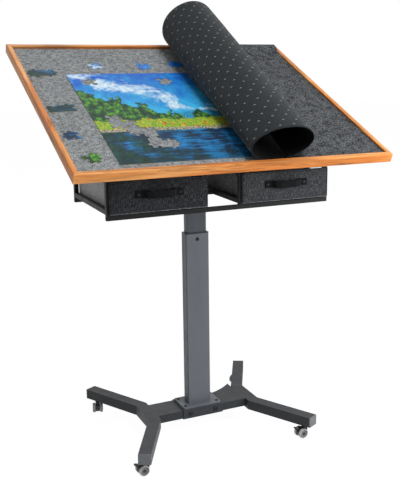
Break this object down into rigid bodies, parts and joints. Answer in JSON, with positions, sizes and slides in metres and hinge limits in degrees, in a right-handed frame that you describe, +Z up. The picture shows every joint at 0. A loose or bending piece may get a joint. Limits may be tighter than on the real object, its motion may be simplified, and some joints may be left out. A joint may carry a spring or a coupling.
{
  "type": "jigsaw puzzle table",
  "caption": "Tilting wood-rimmed felt puzzle board with a cover mat, on a lifting column with a drawer rack and a forked caster base",
  "frame": {"origin": "on the floor under the middle of the column", "axes": "X along the board's width, Y from the user's edge to the back, Z up; the board is stored tilted 23 degrees towards the user at -Y"},
  "size_m": [0.9, 0.732, 1.2919],
  "materials": {
    "rim_wood": "satin lacquer",
    "board_wood": "raw hardboard and pine",
    "felt_grey": "mottled felt",
    "mat_felt": "mottled felt, dotted underside",
    "puzzle_card": "printed puzzle card, picture in the procedural material",
    "column_steel": "satin powder coat",
    "base_steel": "satin powder coat",
    "rack_steel": "matt powder coat",
    "drawer_fabric": "woven slub fabric",
    "strap_fabric": "woven strap",
    "bolt_steel": "zinc plated",
    "black_bolt": "black oxide",
    "black_plastic": "moulded, fine texture",
    "wheel_grey": "light grey tread with dark hub cover",
    "gas_chrome": "polished rod",
    "gas_black": "gloss black cylinder"
  },
  "bodies": {
    "base": {"left_leg": "base_steel", "right_leg": "base_steel", "centre_sleeve": "base_steel", "sleeve_bolts": "black_bolt", "base_screws": "black_bolt", "arm_end_caps": "black_plastic", "caster_stems": "bolt_steel", "outer_tube": "column_steel", "top_bush": "black_plastic", "gas_rod": "gas_chrome"},
    "mast": {"inner_tube": "column_steel", "lower_bush": "black_plastic", "gas_cylinder": "gas_black", "anchor_pin": "bolt_steel", "head_bracket": "rack_steel", "pivot_bolt": "bolt_steel", "clamp_bolt": "bolt_steel", "lever_pin": "bolt_steel", "rack_cross_rails": "rack_steel", "rack_posts": "rack_steel", "rack_side_rails": "rack_steel", "rack_runners": "rack_steel", "rack_socket": "rack_steel", "socket_bolts": "bolt_steel"},
    "release_rod": {"push_rod": "bolt_steel"},
    "release_lever": {"release_lever": "bolt_steel", "lever_grip": "black_plastic"},
    "clamp_knob": {"clamp_knob": "black_plastic"},
    "board": {"rim_long_rails": "rim_wood", "rim_side_rails": "rim_wood", "board_panel": "board_wood", "felt_surface": "felt_grey", "battens": "board_wood", "tilt_bracket": "rack_steel", "bracket_screws": "bolt_steel", "cover_mat": "mat_felt", "puzzle_sheet": "puzzle_card", "loose_pieces": "puzzle_card"},
    "drawer_left": {"drawer_left_body": "drawer_fabric", "drawer_left_base": "drawer_fabric", "drawer_left_strap": "strap_fabric", "drawer_left_rivets": "black_bolt"},
    "drawer_right": {"drawer_right_body": "drawer_fabric", "drawer_right_base": "drawer_fabric", "drawer_right_strap": "strap_fabric", "drawer_right_rivets": "black_bolt"},
    "caster_front_left": {"caster_front_left_housing": "black_plastic", "caster_front_left_axle": "bolt_steel"},
    "wheels_front_left": {"caster_front_left_wheels": "wheel_grey"},
    "caster_front_right": {"caster_front_right_housing": "black_plastic", "caster_front_right_axle": "bolt_steel"},
    "wheels_front_right": {"caster_front_right_wheels": "wheel_grey"},
    "caster_back_left": {"caster_back_left_housing": "black_plastic", "caster_back_left_axle": "bolt_steel"},
    "wheels_back_left": {"caster_back_left_wheels": "wheel_grey"},
    "caster_back_right": {"caster_back_right_housing": "black_plastic", "caster_back_right_axle": "bolt_steel"},
    "wheels_back_right": {"caster_back_right_wheels": "wheel_grey"},
    "brake_front_left": {"caster_front_left_brake": "black_plastic"},
    "brake_front_right": {"caster_front_right_brake": "black_plastic"}
  },
  "joints": [
    {"name": "column_lift", "type": "slide", "parent": "base", "child": "mast", "axis": [0, 0, 1], "range_m": [-0.095, 0.225]},
    {"name": "board_tilt", "type": "hinge", "parent": "mast", "child": "board", "pos_m": [0, 0, 0.963], "axis": [-1, 0, 0], "range_deg": [-13, 23]},
    {"name": "clamp_knob_turn", "type": "hinge", "parent": "mast", "child": "clamp_knob", "pos_m": [0.05, 0, 0.903], "axis": [1, 0, 0], "range_deg": [0, 270]},
    {"name": "release_lever_lift", "type": "hinge", "parent": "mast", "child": "release_lever", "pos_m": [0, -0.016, 0.895], "axis": [-1, 0, 0], "range_deg": [0, 8], "stiffness_Nm_per_rad": 1.5, "springref_deg": -6.88},
    {"name": "release_rod_push", "type": "slide", "parent": "mast", "child": "release_rod", "axis": [0, 0, 1], "range_m": [-0.00274, 0]},
    {"name": "drawer_left_slide", "type": "slide", "parent": "mast", "child": "drawer_left", "axis": [0, -1, 0], "range_m": [0, 0.2]},
    {"name": "drawer_right_slide", "type": "slide", "parent": "mast", "child": "drawer_right", "axis": [0, -1, 0], "range_m": [0, 0.2]},
    {"name": "swivel_front_left", "type": "hinge", "parent": "base", "child": "caster_front_left", "pos_m": [-0.25216, -0.22931, 0.034], "axis": [0, 0, 1], "continuous": true},
    {"name": "roll_front_left", "type": "hinge", "parent": "caster_front_left", "child": "wheels_front_left", "pos_m": [-0.26407, -0.23077, 0.015], "axis": [0.1219, -0.9925, 0], "continuous": true},
    {"name": "swivel_front_right", "type": "hinge", "parent": "base", "child": "caster_front_right", "pos_m": [0.25216, -0.22931, 0.034], "axis": [0, 0, 1], "continuous": true},
    {"name": "roll_front_right", "type": "hinge", "parent": "caster_front_right", "child": "wheels_front_right", "pos_m": [0.24024, -0.23077, 0.015], "axis": [0.1219, -0.9925, 0], "continuous": true},
    {"name": "swivel_back_left", "type": "hinge", "parent": "base", "child": "caster_back_left", "pos_m": [-0.25216, 0.22931, 0.034], "axis": [0, 0, 1], "continuous": true},
    {"name": "roll_back_left", "type": "hinge", "parent": "caster_back_left", "child": "wheels_back_left", "pos_m": [-0.25586, 0.21789, 0.015], "axis": [0.9511, -0.309, 0], "continuous": true},
    {"name": "swivel_back_right", "type": "hinge", "parent": "base", "child": "caster_back_right", "pos_m": [0.25216, 0.22931, 0.034], "axis": [0, 0, 1], "continuous": true},
    {"name": "roll_back_right", "type": "hinge", "parent": "caster_back_right", "child": "wheels_back_right", "pos_m": [0.24024, 0.22784, 0.015], "axis": [0.1219, -0.9925, 0], "continuous": true},
    {"name": "brake_front_left_press", "type": "hinge", "parent": "caster_front_left", "child": "brake_front_left", "pos_m": [-0.27002, -0.2315, 0.026], "axis": [0.1219, -0.9925, 0], "range_deg": [0, 12]},
    {"name": "brake_front_right_press", "type": "hinge", "parent": "caster_front_right", "child": "brake_front_right", "pos_m": [0.23429, -0.2315, 0.026], "axis": [0.1219, -0.9925, 0], "range_deg": [0, 12]}
  ],
  "couplings": [
    {"joint": "release_rod_push", "follows": "release_lever_lift", "m_per_rad": -0.0195}
  ]
}
